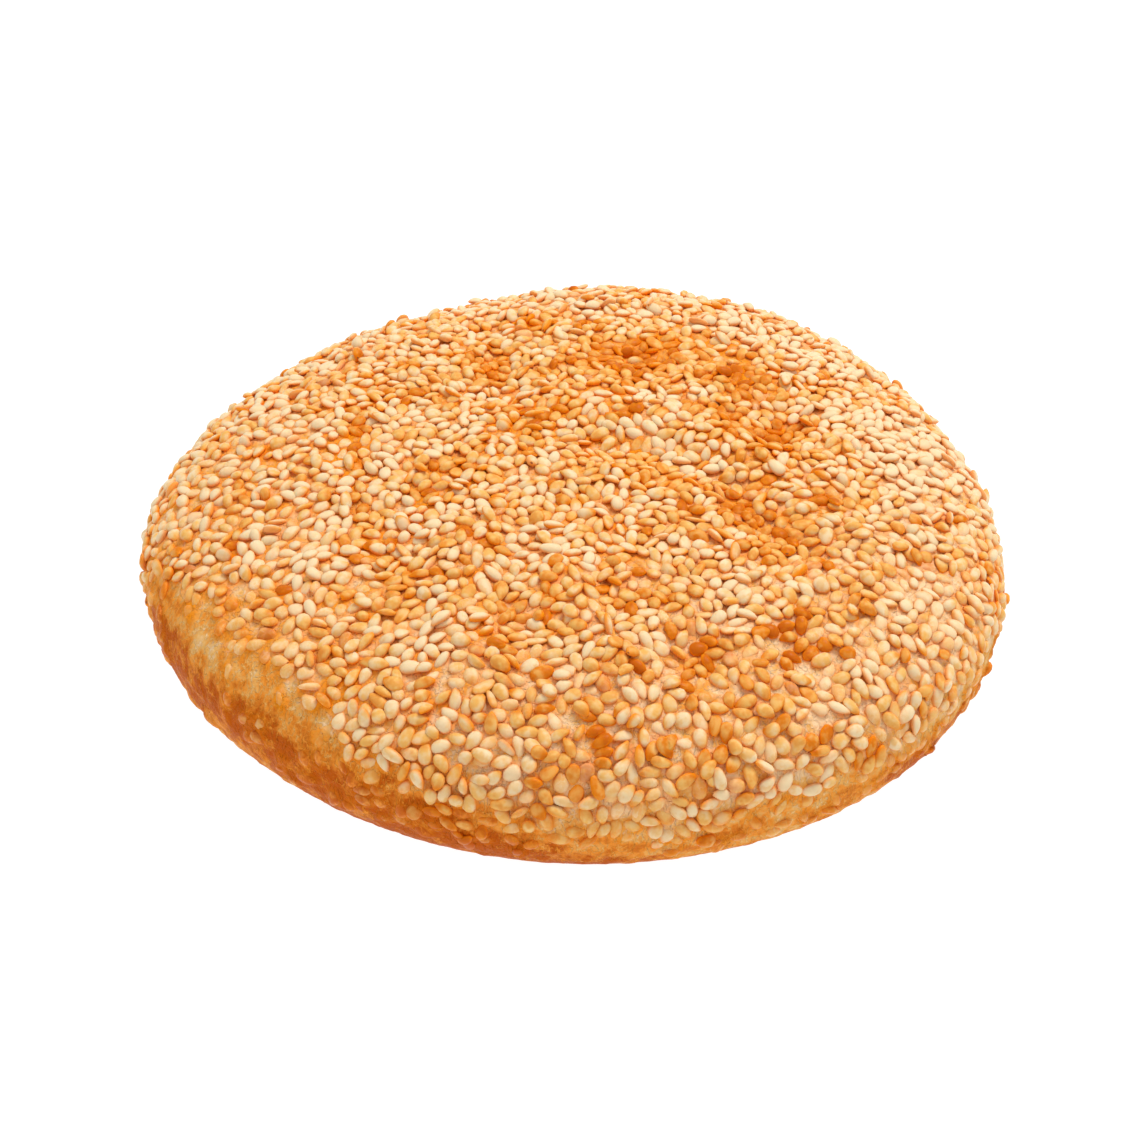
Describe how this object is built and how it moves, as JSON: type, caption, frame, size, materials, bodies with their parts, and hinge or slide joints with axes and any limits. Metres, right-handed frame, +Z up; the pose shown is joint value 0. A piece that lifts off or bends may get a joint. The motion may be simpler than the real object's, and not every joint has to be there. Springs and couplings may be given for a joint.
{
  "type": "round sesame flatbread",
  "caption": "Thick round flatbread with a low domed, lightly dented top, a full rounded side that turns under to a flat base, and sesame seeds baked onto the crust.",
  "frame": {"origin": "middle of the flat base, below the loaf's axis", "axes": "+Z up through the loaf, -Y towards the side shown in front, +X to its right"},
  "size_m": [0.1458, 0.1457, 0.0325],
  "materials": {
    "crust": "baked golden crust, matt",
    "seed_pale": "ivory sesame seed, satin",
    "seed_golden": "golden toasted sesame seed, satin",
    "seed_toasted": "dark toasted sesame seed, satin"
  },
  "bodies": {
    "root": {"bread": "crust"}
  },
  "joints": []
}
